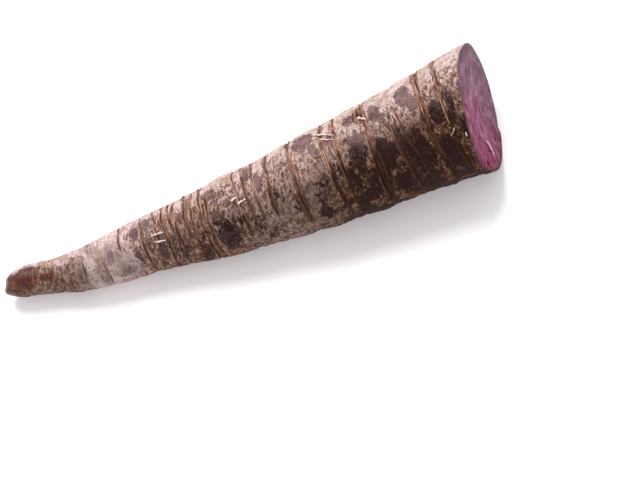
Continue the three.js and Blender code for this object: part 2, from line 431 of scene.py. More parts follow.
def cover_fields(along, turn, grain):
    """Dusk, bare, mottling, lilac and wound: tables and spots along the root, their edges made
    ragged by random fields that follow the grain."""
    # dusk: the underside darkened, partly the root's own dark skin and partly painted shade.
    from_dark = np.abs((turn + 10 * crumple(grain, 12, 3, 4) - DARK_SIDE + 180) % 360 - 180)
    dusk = ease(curve_through(DUSK_START, along) - DARK_SIDE - from_dark, 0, DUSK_BLEND)
    dusk = dusk * curve_through(DUSKINESS, along)

    lumps = crumple(grain * (1.4, 1, 1), 6.5, 11, 4)
    bare = 0.42 * curve_through(BARENESS, along) + 0.3 * lumps + 0.3 * dusk
    bare = np.maximum(bare, 0.5 + 0.75 * strongest_spot(along, turn, BARE_PATCHES))
    bare = bare * ease(along, 0.06, 0.13)

    # Mottling is denser away from the upper side, so the skin darkens there: partly brown mottles,
    # partly painted shade.
    near, far = MOTTLED_BLEND
    low = ease(far - from_dark, 0, far - near)
    mottling = curve_through(MOTTLING, along) * (MOTTLED_LEAST + (1 - MOTTLED_LEAST) * low)
    lilac = strongest_spot(along, turn, LILAC_PATCHES) + 0.3 * crumple(grain, 4, 91, 3)
    wound = np.maximum(-1, strongest_spot(along, turn, WOUNDS))
    wound = np.clip(0.5 + 0.8 * wound + 0.25 * crumple(grain, 2.4, 31, 3), 0, 1)
    return dusk, bare, mottling, ease(lilac, -0.2, 0.5), wound


def skin_fields(along, turn):
    """What lies where on the skin, each as an array over the rows and the angles:
    grain   place on the root straightened out, in millimetres, for patterns that follow it
    groove  the dark line of a crease and of the scar's hole, a painted shadow, lip  its pale
    raised edges, frayed skin with a painted highlight, band  its rusty margin
    bare    above 0.5 where the skin is smooth and bare, below it where it is corky
    dusk    the dark underside, partly dark skin and partly painted shade, ochre  yellow-brown
    staining, blush  pink in the pale skin
    wound   the glossy wounds at the tip, mottling  how thickly the pale skin is mottled, more so
    away from the upper side, partly with painted shade
    lilac   faint lilac shadows in the pale skin
    relief  how far the skin stands out from the plain surface, in millimetres"""
    angle = np.radians(turn)
    radius = plain_radius(along, turn)
    grain = np.stack([
        along * LENGTH + np.zeros_like(radius), radius * np.cos(angle), radius * np.sin(angle),
    ], axis=-1)
    groove, lip, band, creases = crease_fields(along, turn, grain)
    dusk, bare, mottling, lilac, wound = cover_fields(along, turn, grain)
    ochre = curve_through(OCHRE, along) * ease(crumple(grain * (1.3, 1, 1), 6, 41, 4), -0.6, 0.7)

    scar = spot(along, turn, *SCAR)
    hole = ease(scar, 0, 0.7)
    band = np.maximum(band, ease(scar, -1.1, -0.2))

    corky = 1 - ease(bare, 0.44, 0.56)
    bumps = (
        DENTS * crumple(grain, 11, 51, 3)
        + PIMPLES * crumple(grain * (1.8, 1, 1), 2.6, 61, 3)
        + CORK_THICKNESS * corky
        + WOUND_SWELLING * ease(wound, 0.4, 0.8)
    )
    relief = creases + fine_creases(along, turn) + ease(along, 0, 0.03) * bumps
    relief = relief - SCAR_HOLE * hole + SCAR_LIP * bell(scar + 0.3, 0.35)
    return {
        # The groove also takes the scar's hole: painted shadow in it.
        "grain": grain, "groove": np.maximum(groove, hole), "lip": lip, "band": band,
        "bare": bare, "dusk": dusk, "ochre": ochre, "wound": wound,
        "blush": curve_through(BLUSH, along) + np.zeros_like(radius),
        "mottling": mottling, "lilac": lilac, "relief": relief,
    }


def fine_creases(along, turn, count=110):
    """Relief of many short shallow creases between the rings, each a bell across the rows and an
    arc round the axis, in millimetres."""
    chance = np.random.default_rng(7)
    relief = np.zeros(np.broadcast(along, turn).shape)
    for _ in range(count):
        at, middle = chance.uniform(0.07, 0.985), chance.uniform(0, 360)
        reach, depth = chance.uniform(25, 80), chance.uniform(0.06, 0.2)
        offset = (along - at) * LENGTH
        profile = -bell(offset, 0.5) + 0.5 * bell(offset + 0.9, 0.5)
        relief += depth * arc(turn, middle, reach) * profile
    return relief


# ---- meshes

def grid_faces(rows, columns):
    """Quads of a grid that closes round each row, plus a fan of triangles to a pole before the
    first row (point 0) and after the last (the last point)."""
    row, column = np.meshgrid(np.arange(rows - 1), np.arange(columns), indexing="ij")
    beside = (column + 1) % columns
    corners = [
        row * columns + column, (row + 1) * columns + column,
        (row + 1) * columns + beside, row * columns + beside,
    ]
    quads = 1 + np.stack(corners, axis=-1).reshape(-1, 4)
    around = np.arange(columns)
    nxt = (around + 1) % columns
    last = 1 + (rows - 1) * columns
    first_fan = np.stack([np.zeros_like(around), 1 + around, 1 + nxt], axis=-1)
    last_fan = np.stack([np.full_like(around, last + columns), last + nxt, last + around], axis=-1)
    return quads, first_fan, last_fan


def build_mesh(name, points, polygons, fields=None):
    """A smooth mesh object from points, lists of polygons and per-point fields."""
    mesh = bpy.data.meshes.new(name)
    corners = np.concatenate([p.reshape(-1) for p in polygons])
    sizes = np.concatenate([np.full(len(p), p.shape[1]) for p in polygons])
    mesh.vertices.add(len(points))
    mesh.vertices.foreach_set("co", points.astype(np.float32).reshape(-1))
    mesh.loops.add(len(corners))
    mesh.loops.foreach_set("vertex_index", corners.astype(np.int32))
    mesh.polygons.add(len(sizes))
    mesh.polygons.foreach_set("loop_start", (np.cumsum(sizes) - sizes).astype(np.int32))
    mesh.polygons.foreach_set("use_smooth", np.ones(len(sizes), dtype=bool))
    mesh.update(calc_edges=True)
    for field, values in (fields or {}).items():
        kind, key = ("FLOAT_VECTOR", "vector") if values.ndim == 2 else ("FLOAT", "value")
        layer = mesh.attributes.new(field, kind, "POINT")
        layer.data.foreach_set(key, values.astype(np.float32).reshape(-1))
    mesh.validate()
    obj = bpy.data.objects.new(name, mesh)
    bpy.context.scene.collection.objects.link(obj)
    return obj


def skin_rows():
    """Places of the skin's rows: the rounded tip, rows close beside every ring, and enough rows
    between them that none are more than ROW_STEP apart. The last is where the cut's worn edge
    starts."""
    end = LENGTH - RIM_ROUND
    near = []
    for beside in RING_ROWS:
        for ring in RING_AT * LENGTH:
            place = ring + beside
            if place < end - ROW_GAP and all(abs(place - other) >= ROW_GAP for other in near):
                near.append(place)
    near = [TIP_CAP, *sorted(near), end]
    filled = [np.array([TIP_CAP])]
    for before, after in zip(near, near[1:]):
        steps = int(np.ceil((after - before) / ROW_STEP))
        filled.append(np.linspace(before, after, steps + 1)[1:])
    cap = TIP_CAP * (1 - np.cos(np.arange(1, CAP_ROWS) / CAP_ROWS * np.pi / 2))
    return np.concatenate([cap, *filled]) / LENGTH


def cut_rows():
    """Rows over the worn edge, a quarter circle, and across the cut to its middle: place along
    the root and share of the radius."""
    bend = np.radians([30, 60, 90])
    along = 1 - RIM_ROUND / LENGTH * (1 - np.sin(bend))
    share = 1 - RIM_ROUND / CUT_RADIUS * (1 - np.cos(bend))
    across = np.linspace(share[-1], 0, CUT_ROWS + 1)[1:-1]
    return np.append(along, np.ones(len(across))), np.append(share, across)


# A small hollow in the cut, and the pale fibre pulled out of it: share of the radius and angle.
HOLLOW_SHARE = 0.86
HOLLOW_TURN = -78
HOLLOW_WIDTH = 1.1
HOLLOW_DEPTH = 1.1
FIBRE_FROM = (0.5, -92)
FIBRE_TO = (0.78, -96)
FIBRE_RADIUS = 0.3
# The core's ring: share of the radius, its half width as a share, and its depth in millimetres.
CORE_SHARE = 0.46
CORE_WIDTH = 0.035
CORE_DEPTH = 0.22
# How grey the flesh is in the middle of the cut, and how much more at the shoulder and far side.
GREY_MIDDLE = 0.46
GREY_SHOULDER = 0.63
GREY_FAR = 0.46


def cut_relief(share, turn):
    """Height of the cut over its flat, in millimetres: the core's ring stands a little low, faint
    knife lines run across, and the flesh is slightly uneven."""
    angle = np.radians(turn)
    show, shoulder = CUT_RADIUS * share * np.cos(angle), CUT_RADIUS * share * np.sin(angle)
    place = np.stack([show, shoulder, np.zeros_like(show)], axis=-1)
    knife = np.sin(2.1 * show + 0.5 * shoulder + 1.5 * drift(place, 9, 71))
    ring = -CORE_DEPTH * bell(share - CORE_SHARE - 0.03 * drift(place, 5, 72), CORE_WIDTH)
    inside = ease(1 - share, 0.02, 0.12)
    uneven = 0.035 * knife + 0.1 * crumple(place, 3.2, 73, 4)
    return inside * (ring + uneven) - HOLLOW_DEPTH * hollow(share, turn)


def hollow(share, turn):
    """A small hollow in the flesh near the lower edge: a bell round its middle, 1 where it is
    deepest."""
    angle, middle = np.radians(turn), np.radians(HOLLOW_TURN)
    show = share * np.cos(angle) - HOLLOW_SHARE * np.cos(middle)
    shoulder = share * np.sin(angle) - HOLLOW_SHARE * np.sin(middle)
    return bell(np.hypot(show, shoulder) * CUT_RADIUS, HOLLOW_WIDTH)


def carrot_body():
    """The whole root as one closed surface: a pole at the tip, the rows of skin, the worn edge,
    the cut, and a pole at the cut's middle."""
    skin_along = skin_rows()
    cut_along, cut_share = cut_rows()
    turn = np.arange(SEGMENTS) * 360 / SEGMENTS
    along = np.concatenate([skin_along, cut_along])[:, None] + 0 * turn
    share = np.concatenate([np.ones(len(skin_along)), cut_share])[:, None] + 0 * turn
    turns = np.broadcast_to(turn, along.shape)
    fields = skin_fields(along, turns)
    relief = fields.pop("relief")
    points = root_points(along, turns, share, relief)
    edge = len(skin_along)
    points[edge:, :, 0] += cut_relief(share[edge:], turns[edge:])
    angle = np.radians(turns)
    fields["grain"] = fields["grain"] * np.stack([np.ones_like(share), share, share], axis=-1)
    fields["rays"] = np.stack([share * CUT_RADIUS, np.cos(angle), np.sin(angle)], axis=-1)
    fields["share"] = share
    fields["hollow"] = hollow(share, turns) * (share < 0.99)
    greyness = GREY_MIDDLE + share * (GREY_SHOULDER * np.sin(angle) - GREY_FAR * np.cos(angle))
    fields["greyness"] = np.clip(greyness, 0, 1)

    tip, middle = points[0].mean(axis=0), points[-1].mean(axis=0)
    tip = tip + (tip - points[2].mean(axis=0)) * 0.1
    quads, tip_fan, cut_fan = grid_faces(len(along), SEGMENTS)
    place = lay_down(np.concatenate([[tip], points.reshape(-1, 3), [middle]]))
    spread = {
        name: np.concatenate([[v[0, 0]], v.reshape((-1,) + v.shape[2:]), [v[-1, 0]]])
        for name, v in fields.items()
    }
    body = build_mesh("carrot_skin_and_flesh", place, [quads, tip_fan, cut_fan], spread)
    material = np.zeros(len(quads) + 2 * SEGMENTS, dtype=np.int32)
    material[(edge + 2) * SEGMENTS:len(quads)] = 1
    material[len(quads) + SEGMENTS:] = 1
    body.data.materials.append(carrot_skin())
    body.data.materials.append(cut_flesh())
    body.data.polygons.foreach_set("material_index", material)
    return body


def tubes(name, paths, radii, sides, fields=None):
    """Tubes in one mesh. Each path is a row of points, and a circle with that path's radii is
    carried along it, square to it. Both ends close in a point."""
    count, length, _ = paths.shape
    tangent = np.gradient(paths, axis=1)
    tangent /= np.linalg.norm(tangent, axis=2, keepdims=True)
    helper = np.eye(3)[np.abs(tangent.mean(axis=1)).argmin(axis=1)][:, None, :]
    side = np.cross(tangent, helper)
    side /= np.linalg.norm(side, axis=2, keepdims=True)
    over = np.cross(tangent, side)
    angle = np.arange(sides) * 2 * np.pi / sides
    circle = side[:, :, None] * np.cos(angle)[:, None] + over[:, :, None] * np.sin(angle)[:, None]
    rings = paths[:, :, None] + radii[:, :, None, None] * circle
    points = np.concatenate([paths[:, :1], rings.reshape(count, -1, 3), paths[:, -1:]], axis=1)
    step = points.shape[1]
    start = (np.arange(count) * step)[:, None, None]
    polygons = [
        (part[None] + start).reshape(-1, part.shape[1])[:, ::-1]
        for part in grid_faces(length, sides)
    ]
    spread = {key: np.repeat(value, step) for key, value in (fields or {}).items()}
    return build_mesh(name, lay_down(points.reshape(-1, 3)), polygons, spread)


# Stubs of fine rootlets: (share along, angle, height over the skin) of both ends, then how far
# the middle bows out, and the radius at the root end, in millimetres.
ROOTLETS = [
    ((0.321, 13, 0.1), (0.347, 11, 0.7), 0.5, 0.36),
    ((0.327, -1, 0.1), (0.347, -3, 0.5), 0.4, 0.3),
    ((0.495, 16, 0.9), (0.511, 19, 0.0), 0.4, 0.42),
    ((0.507, 9, 0.8), (0.527, 12, 0.0), 0.4, 0.4),
    ((0.692, 55, 0.2), (0.731, 40, 0.4), 0.5, 0.34),
    ((0.703, 44, 0.1), (0.727, 35, 0.3), 0.3, 0.28),
    ((0.782, 47, 0.3), (0.799, 40, 0.2), 0.5, 0.55),
    ((0.215, 54, 0.0), (0.243, 37, 0.1), 0.15, 0.24),
    ((0.965, -9, 0.2), (0.951, -15, 0.3), 0.3, 0.14),
    ((0.99, -17, 0.1), (0.993, -21, 0.4), 0.2, 0.2),
    ((0.285, 150, 0.0), (0.31, 158, 0.6), 0.5, 0.32),
    ((0.6, 170, 0.0), (0.57, 182, 0.9), 0.6, 0.38),
    ((0.44, 215, 0.0), (0.46, 225, 0.7), 0.4, 0.32),
    ((0.86, 120, 0.0), (0.885, 128, 0.8), 0.5, 0.4),
    ((0.74, 205, 0.0), (0.765, 198, 0.8), 0.6, 0.4),
]
# Points along a stub and along a thread, and round each.
STUB_POINTS = 14
STUB_SIDES = 9
THREAD_POINTS = 18
THREAD_SIDES = 5


def skin_height(along, turn):
    """Relief of the skin at scattered places."""
    return skin_fields(np.atleast_2d(along).T, np.atleast_2d(turn))["relief"].diagonal()


def blunt(t, power, least):
    """Share of a tube's radius along it: the square root of 1 less a power of the distance from
    its middle, so it is full in the middle and falls steeply at both ends."""
    return np.sqrt(np.clip(1 - (2 * t - 1) ** power, least, 1))


def rootlet_stubs():
    """Each stub runs straight over the skin between its two ends, bowed out as half a sine wave,
    and thins to its free end. The last is the fibre on the cut."""
    t = np.linspace(0, 1, STUB_POINTS)
    bow = np.sin(np.pi * t)
    paths, radii = [], []
    for (a0, t0, h0), (a1, t1, h1), rise, radius in ROOTLETS:
        along, turn = a0 + (a1 - a0) * t, t0 + (t1 - t0) * t
        height = h0 + (h1 - h0) * t + rise * bow
        along = along + 0.0012 * np.sin(7 * t + a0 * 90)
        paths.append(root_points(along, turn, 1.0, skin_height(along, turn) + height))
        radii.append(1.25 * radius * (1 - 0.6 * t) * blunt(t, 8, 0.02))
    share = FIBRE_FROM[0] + (FIBRE_TO[0] - FIBRE_FROM[0]) * t
    turn = FIBRE_FROM[1] + (FIBRE_TO[1] - FIBRE_FROM[1]) * t + 4 * bow
    fibre = root_points(1 + 0 * t, turn, share)
    fibre[:, 0] += 0.15 + 0.5 * bow
    paths.append(fibre)
    radii.append(FIBRE_RADIUS * blunt(t, 6, 0.03))
    stubs = tubes("rootlet_stubs", np.array(paths), np.array(radii), STUB_SIDES)
    stubs.data.materials.append(rootlet())
    return stubs


def crease_threads():
    """Threads of frayed skin that lie along the rings: each follows its ring round an arc, drifts
    a little across it, and sinks into the skin at both ends. A thread's shade is a random number,
    and 1 more on the underside, where the skin is dark and painted shade darkens it."""
    chance = np.random.default_rng(23)
    t = np.linspace(0, 1, THREAD_POINTS)
    paths, radii, shades = [], [], []
    for number, (at, _, depth, middle, reach, band, _) in enumerate(RINGS):
        for _ in range(int(3 + 5 * depth * band)):
            centre = middle if chance.random() < 0.65 else back_middle(number)
            start = centre + chance.uniform(-0.75, 0.45) * reach
            turn = start + chance.uniform(12, 42) * t
            across = chance.uniform(-1, 1) * band
            drift_by = chance.uniform(-0.35, 0.35)
            along = at + (across + drift_by * np.sin(3 * t + chance.uniform(0, 6))) / LENGTH
            height = -0.12 + chance.uniform(0.12, 0.3) * np.sin(np.pi * t) ** 0.5
            paths.append(root_points(along, turn, 1.0, skin_height(along, turn) + height))
            radii.append(chance.uniform(0.1, 0.24) * blunt(t, 6, 0.03))
            dark = abs((turn.mean() - DARK_SIDE + 180) % 360 - 180) < 105
            shades.append(chance.random() + dark)
    shade = {"shade": np.array(shades)}
    threads = tubes("crease_threads", np.array(paths), np.array(radii), THREAD_SIDES, shade)
    threads.data.materials.append(skin_thread())
    return threads


# ---- materials

class Recipe:
    """A material and its node tree, with one short method for each kind of step."""

    def __init__(self, name):
        self.material = bpy.data.materials.new(name)
        self.material.use_nodes = True
        self.tree = self.material.node_tree
        self.shader = self.tree.nodes["Principled BSDF"]

    def node(self, kind, inputs, **settings):
        """A node with its settings, and its inputs set or linked by name or number."""
        made = self.tree.nodes.new(kind)
        for key, value in settings.items():
            setattr(made, key, value)
        for key, value in inputs.items():
            self.feed(made.inputs[key], value)
        return made

    def feed(self, socket, value):
        """Links another node's output to a socket, or sets the socket to a number or a colour."""
        if isinstance(value, bpy.types.NodeSocket):
            self.tree.links.new(value, socket)
        elif isinstance(value, tuple) and socket.type == "RGBA":
            socket.default_value = (*value, 1)
        else:
            socket.default_value = value

    def field(self, name):
        """One of the mesh's fields, as a number."""
        return self.node("ShaderNodeAttribute", {}, attribute_name=name).outputs["Fac"]

    def places(self, name, stretch=(1, 1, 1)):
        """A field of places, each direction multiplied by its stretch."""
        vector = self.node("ShaderNodeAttribute", {}, attribute_name=name).outputs["Vector"]
        return self.node("ShaderNodeMapping", {"Vector": vector, "Scale": stretch}).outputs[0]

    def own_place(self):
        """Place on the object itself, in metres."""
        return self.node("ShaderNodeTexCoord", {}).outputs["Object"]

    def noise(self, vector, scale, detail=3.0, roughness=0.5, distortion=0.0):
        """Cloudy noise from 0 to 1, mostly near a half."""
        inputs = {
            "Vector": vector, "Scale": scale, "Detail": detail, "Roughness": roughness,
            "Distortion": distortion,
        }
        return self.node("ShaderNodeTexNoise", inputs).outputs[0]

    def step(self, value, low, high, start=0.0, end=1.0):
        """start below low, end above high, and eased between."""
        inputs = {0: value, 1: low, 2: high, 3: start, 4: end}
        return self.node("ShaderNodeMapRange", inputs, interpolation_type="SMOOTHSTEP").outputs[0]

    def blend(self, share, first, second):
        """The first colour, going over to the second as share goes from 0 to 1."""
        inputs = {0: share, 6: first, 7: second}
        return self.node("ShaderNodeMix", inputs, data_type="RGBA").outputs[2]

    def math(self, operation, first, second):
        """One arithmetic step on two numbers."""
        return self.node("ShaderNodeMath", {0: first, 1: second}, operation=operation).outputs[0]

    def sum(self, first, second):
        return self.math("ADD", first, second)

    def product(self, first, second):
        return self.math("MULTIPLY", first, second)

    def less(self, first, second):
        return self.math("SUBTRACT", first, second)

    def nudge(self, value, noise, amount):
        """A value moved up and down by a noise's distance from its middle."""
        return self.sum(value, self.product(self.less(noise, 0.5), amount))

    def finish(self, colour, roughness, height=None, **others):
        """Feeds the shader: colour, roughness, a bump whose height is in millimetres, and any of
        its other sockets by name."""
        self.feed(self.shader.inputs["Base Color"], colour)
        self.feed(self.shader.inputs["Roughness"], roughness)
        if height is not None:
            bump = self.node("ShaderNodeBump", {"Height": height, "Distance": MM, "Strength": 1.0})
            self.feed(self.shader.inputs["Normal"], bump.outputs[0])
        for key, value in others.items():
            self.feed(self.shader.inputs[key.replace("_", " ")], value)
        return self.material


# Colours of the corky skin where it is lit, in linear light.
PALE_CORK = (0.6, 0.475, 0.45)
PINK_CORK = (0.62, 0.47, 0.475)
DULL_CORK = (0.38, 0.27, 0.245)
LILAC = (0.2, 0.13, 0.14)
TAN = (0.4, 0.275, 0.25)
OCHRE_TAN = (0.36, 0.22, 0.125)
BROWN = (0.15, 0.073, 0.053)
OCHRE_BROWN = (0.15, 0.069, 0.032)
DARK_BROWN = (0.06, 0.025, 0.016)
BROWN_STREAK = (0.17, 0.088, 0.062)
PALE_STREAK = (0.7, 0.56, 0.52)
# The same skin on the underside, darker: partly its own dark skin, partly painted shade.
DIM_BLACK = (0.038, 0.014, 0.009)
DIM_BROWN = (0.16, 0.078, 0.044)
DIM_TAN = (0.26, 0.15, 0.105)
DIM_OCHRE = (0.27, 0.145, 0.068)
DIM_CRACK = (0.055, 0.024, 0.015)
# Smooth bare skin; BARE_BLACK is its underside, dark skin with painted shade.
BARE_LILAC = (0.205, 0.122, 0.118)
BARE_BLACK = (0.021, 0.0065, 0.0058)
BARE_DULL = (0.1, 0.055, 0.053)
BARE_SPECK = (0.1, 0.052, 0.042)
# Pits and flakes, the fibres in a crease, its pale edges and its dark line. The pale edges are
# frayed skin with a painted highlight, the dark line is painted shadow in the crease, and those
# named DIM are darker with painted shade on the underside.
PIT = (0.055, 0.023, 0.014)
FLAKE = (0.66, 0.51, 0.44)
DIM_FLAKE = (0.3, 0.17, 0.11)
RUST_DARK = (0.06, 0.015, 0.009)
RUST = (0.25, 0.09, 0.052)
RUST_PALE = (0.62, 0.4, 0.3)
RUST_DIM = (0.03, 0.0095, 0.006)
FRAYED_AND_HIGHLIGHT = (0.56, 0.38, 0.29)
FRAYED_AND_HIGHLIGHT_DIM = (0.13, 0.05, 0.03)
CREASE_SHADOW = (0.022, 0.008, 0.006)
# The wounds at the tip and the skin round them.
WOUND_DARK = (0.035, 0.006, 0.004)
WOUND_RED = (0.1, 0.018, 0.009)
WOUND_AMBER = (0.24, 0.06, 0.02)
WOUND_EDGE = (0.13, 0.045, 0.026)
# How much less rough a wound is than the skin.
WOUND_GLOSS = 0.58


def cork_colour(r, mottle, blotch, crumb, streak, net):
    """Pale skin, pink, lilac or dull by its fields, over tan blotches, speckled and streaked with
    brown, duller away from the upper side with painted shade. The underside is black and brown,
    netted with tan: partly dark skin, partly painted shade."""
    ochre = r.field("ochre")
    pale = r.blend(r.field("blush"), PALE_CORK, PINK_CORK)
    pale = r.blend(r.product(r.field("mottling"), 0.5), pale, DULL_CORK)
    pale = r.blend(r.product(r.field("lilac"), 0.95), pale, LILAC)
    cork = r.blend(r.step(blotch, 0.42, 0.62), pale, r.blend(ochre, TAN, OCHRE_TAN))
    speckle = r.nudge(r.nudge(mottle, crumb, 0.25), r.field("mottling"), 0.26)
    cork = r.blend(r.step(speckle, 0.5, 0.58), cork, r.blend(ochre, BROWN, OCHRE_BROWN))
    cork = r.blend(r.product(r.step(speckle, 0.61, 0.67), 0.85), cork, DARK_BROWN)
    cork = r.blend(r.product(r.step(streak, 0.54, 0.64), 0.6), cork, BROWN_STREAK)
    cork = r.blend(r.product(r.step(streak, 0.46, 0.36), 0.55), cork, PALE_STREAK)

    dim = r.blend(r.step(crumb, 0.5, 0.62), DIM_BLACK, DIM_BROWN)
    netted = r.blend(r.step(crumb, 0.42, 0.54), DIM_CRACK, r.blend(ochre, DIM_TAN, DIM_OCHRE))
    dim = r.blend(r.step(net, 0.49, 0.56), dim, netted)
    return r.blend(r.field("dusk"), cork, dim)


def bare_colour(r, dusk, blotch, crumb):
    """Smooth bare skin: lilac-brown, purple-black on the underside with dark skin and painted
    shade, clouded and finely specked.
    """
    bare = r.blend(r.step(dusk, 0, 0.5), BARE_LILAC, BARE_BLACK)
    dull = r.product(r.step(blotch, 0.45, 0.6), r.less(0.8, r.product(dusk, 0.8)))
    bare = r.blend(dull, bare, BARE_DULL)
    return r.blend(r.step(crumb, 0.55, 0.74), bare, BARE_SPECK)


def flecked(r, colour, dusk, fleck, pit):
    """A colour with dark pits and pale flakes scattered over it; the flakes are darker on the
    underside, with painted shade.
    """
    colour = r.blend(r.product(pit, 0.8), colour, PIT)
    crust = r.product(r.step(fleck, 0.37, 0.32), r.less(0.9, r.product(dusk, 0.6)))
    return r.blend(crust, colour, r.blend(dusk, FLAKE, DIM_FLAKE))


def creased(r, colour, dusk, fibre, crumb, streak):
    """A colour with the creases on it: rusty fibres, then frayed pale edges with a painted
    highlight, then the dark line, a painted shadow. The fibres and edges are darker on the
    underside with painted shade.
    """
    rusty = r.blend(r.step(fibre, 0.44, 0.52), RUST_DARK, RUST)
    rusty = r.blend(r.step(fibre, 0.55, 0.62), rusty, RUST_PALE)
    rusty = r.blend(r.product(r.step(dusk, 0.1, 0.9), 0.92), rusty, RUST_DIM)
    shown = r.product(r.step(r.field("band"), 0.12, 0.5), r.step(crumb, 0.3, 0.5, 0.45, 1.0))
    colour = r.blend(r.product(shown, 0.9), colour, rusty)
    # Pale edges of the creases: frayed skin with a painted highlight.
    frayed = r.product(r.field("lip"), r.step(streak, 0.48, 0.57, 0.0, 0.75))
    colour = r.blend(frayed, colour, r.blend(dusk, FRAYED_AND_HIGHLIGHT, FRAYED_AND_HIGHLIGHT_DIM))
    # Painted shadow along the crease's line and in the scar's hole.
    crease_shadow = r.product(r.field("groove"), r.step(crumb, 0.3, 0.5, 0.5, 0.95))
    return r.blend(crease_shadow, colour, CREASE_SHADOW)


def carrot_skin():
    """Corky pale skin, mottled and streaked round the root, over smooth bare patches from
    lilac-brown to purple-black, with fibrous rusty creases and glossy wounds at the tip."""
    r = Recipe("carrot_skin")
    grain = r.places("grain")
    dusk, wound = r.field("dusk"), r.field("wound")

    blotch = r.noise(grain, 0.2, 5, 0.62)
    mottle = r.noise(r.places("grain", (1.3, 0.9, 0.9)), 0.55, 7, 0.74, 0.5)
    crumb = r.noise(grain, 1.7, 5, 0.7)
    streak = r.noise(r.places("grain", (2.2, 0.28, 0.28)), 1.0, 5, 0.65)
    fleck = r.noise(grain, 1.5, 3, 0.6)
    net = r.noise(grain, 0.42, 6, 0.7, 0.8)
    fibre = r.noise(r.places("grain", (2.4, 0.2, 0.2)), 1.0, 4, 0.62)

    edge = r.nudge(r.nudge(r.field("bare"), mottle, 1.2), crumb, 0.6)
    is_bare = r.step(edge, 0.49, 0.53)
    cork = cork_colour(r, mottle, blotch, crumb, streak, net)
    colour = r.blend(is_bare, cork, bare_colour(r, dusk, blotch, crumb))
    pit = r.step(fleck, 0.6, 0.66)
    colour = flecked(r, colour, dusk, fleck, pit)
    colour = creased(r, colour, dusk, fibre, crumb, streak)

    inside = r.blend(r.step(mottle, 0.42, 0.56), WOUND_DARK, WOUND_RED)
    inside = r.blend(r.step(blotch, 0.54, 0.7), inside, WOUND_AMBER)
    is_wound = r.step(r.nudge(wound, mottle, 0.7), 0.5, 0.62)
    colour = r.blend(r.product(r.step(wound, 0.2, 0.5), 0.75), colour, WOUND_EDGE)
    colour = r.blend(is_wound, colour, inside)

    roughness = r.less(r.step(is_bare, 0, 1, 0.8, 0.55), r.product(is_wound, WOUND_GLOSS))
    shine = r.sum(r.step(is_bare, 0, 1, 0.035, 0.06), r.product(is_wound, 0.3))
    height = r.product(r.less(1.0, is_bare), 0.14)
    for pattern, left, size in ((mottle, 0.6, 0.4), (crumb, 0.8, 0.24), (streak, 1.0, 0.35)):
        skin_only = r.less(1.0, r.product(is_wound, left))
        height = r.sum(height, r.product(r.product(pattern, skin_only), size))
    height = r.less(height, r.product(pit, 0.15))
    height = r.sum(height, r.product(r.product(r.field("band"), fibre), 0.9))
    return r.finish(colour, roughness, height, Specular_IOR_Level=shine)


# Colours of the flesh: magenta, greyer towards the shoulder, its rays, core, pale ring and rim,
# and the painted shade in the small hollow.
VIVID = ((0.14, 0.017, 0.05), (0.26, 0.06, 0.125), (0.38, 0.16, 0.26))
GREYED = ((0.1, 0.032, 0.065), (0.17, 0.065, 0.115), (0.26, 0.14, 0.21))
PALE_RAY = (0.4, 0.2, 0.3)
DARK_RAY = (0.075, 0.008, 0.03)
CORE = ((0.14, 0.012, 0.05), (0.36, 0.12, 0.23))
PALE_RING = (0.42, 0.24, 0.35)
PALE_GRAIN = (0.5, 0.29, 0.38)
DARK_GRAIN = (0.07, 0.01, 0.03)
HOLLOW_SHADE = (0.05, 0.012, 0.015)
RIM = (0.075, 0.034, 0.045)


def cut_flesh():
    """Moist magenta-purple flesh: a dark violet rim, a blotched and streaked cortex, greyer on
    the shoulder side, a broken pale ring and a deeper core."""
    r = Recipe("cut_flesh")
    share, grey = r.field("share"), r.field("greyness")
    place = r.places("grain")
    rays = r.noise(r.places("rays", (0.14, 6, 6)), 1.0, 3, 0.6, 0.3)
    cloud = r.noise(place, 0.13, 3, 0.55)
    blotch = r.noise(place, 0.22, 4, 0.6, 0.25)
    crumb = r.noise(place, 1.2, 4, 0.66)
    ripple = r.nudge(share, cloud, 0.3)

    vivid = r.blend(r.step(blotch, 0.36, 0.5), VIVID[0], VIVID[1])
    vivid = r.blend(r.step(blotch, 0.56, 0.68), vivid, VIVID[2])
    greyed = r.blend(r.step(blotch, 0.36, 0.52), GREYED[0], GREYED[1])
    greyed = r.blend(r.step(blotch, 0.56, 0.68), greyed, GREYED[2])
    colour = r.blend(r.step(r.nudge(grey, cloud, 0.8), 0.1, 0.9), vivid, greyed)
    colour = r.blend(r.product(r.step(rays, 0.53, 0.66), 0.4), colour, PALE_RAY)
    colour = r.blend(r.product(r.step(rays, 0.47, 0.35), 0.5), colour, DARK_RAY)
    core = r.blend(r.step(blotch, 0.34, 0.66), CORE[0], CORE[1])
    colour = r.blend(r.product(r.step(ripple, 0.4, 0.26), 0.8), colour, core)
    ring = r.product(r.step(ripple, 0.36, 0.42), r.step(ripple, 0.52, 0.45))
    broken = r.product(ring, r.step(blotch, 0.46, 0.62, 0.05, 0.4))
    colour = r.blend(broken, colour, PALE_RING)
    colour = r.blend(r.product(r.step(crumb, 0.58, 0.7), 0.3), colour, PALE_GRAIN)
    colour = r.blend(r.product(r.step(crumb, 0.43, 0.34), 0.4), colour, DARK_GRAIN)
    # The small hollow is painted dark: painted shade.
    colour = r.blend(r.step(r.field("hollow"), 0.35, 0.7), colour, HOLLOW_SHADE)
    colour = r.blend(r.product(r.step(ripple, 0.86, 0.97), 0.85), colour, RIM)

    height = r.sum(r.product(blotch, 0.5), r.product(crumb, 0.2))
    shine = r.sum(r.product(grey, 0.05), 0.008)
    roughness = r.step(crumb, 0.35, 0.65, 0.34, 0.55)
    return r.finish(colour, roughness, height, Specular_IOR_Level=shine)


ROOTLET_CREAM = (0.82, 0.68, 0.62)
ROOTLET_BROWN = (0.4, 0.24, 0.17)


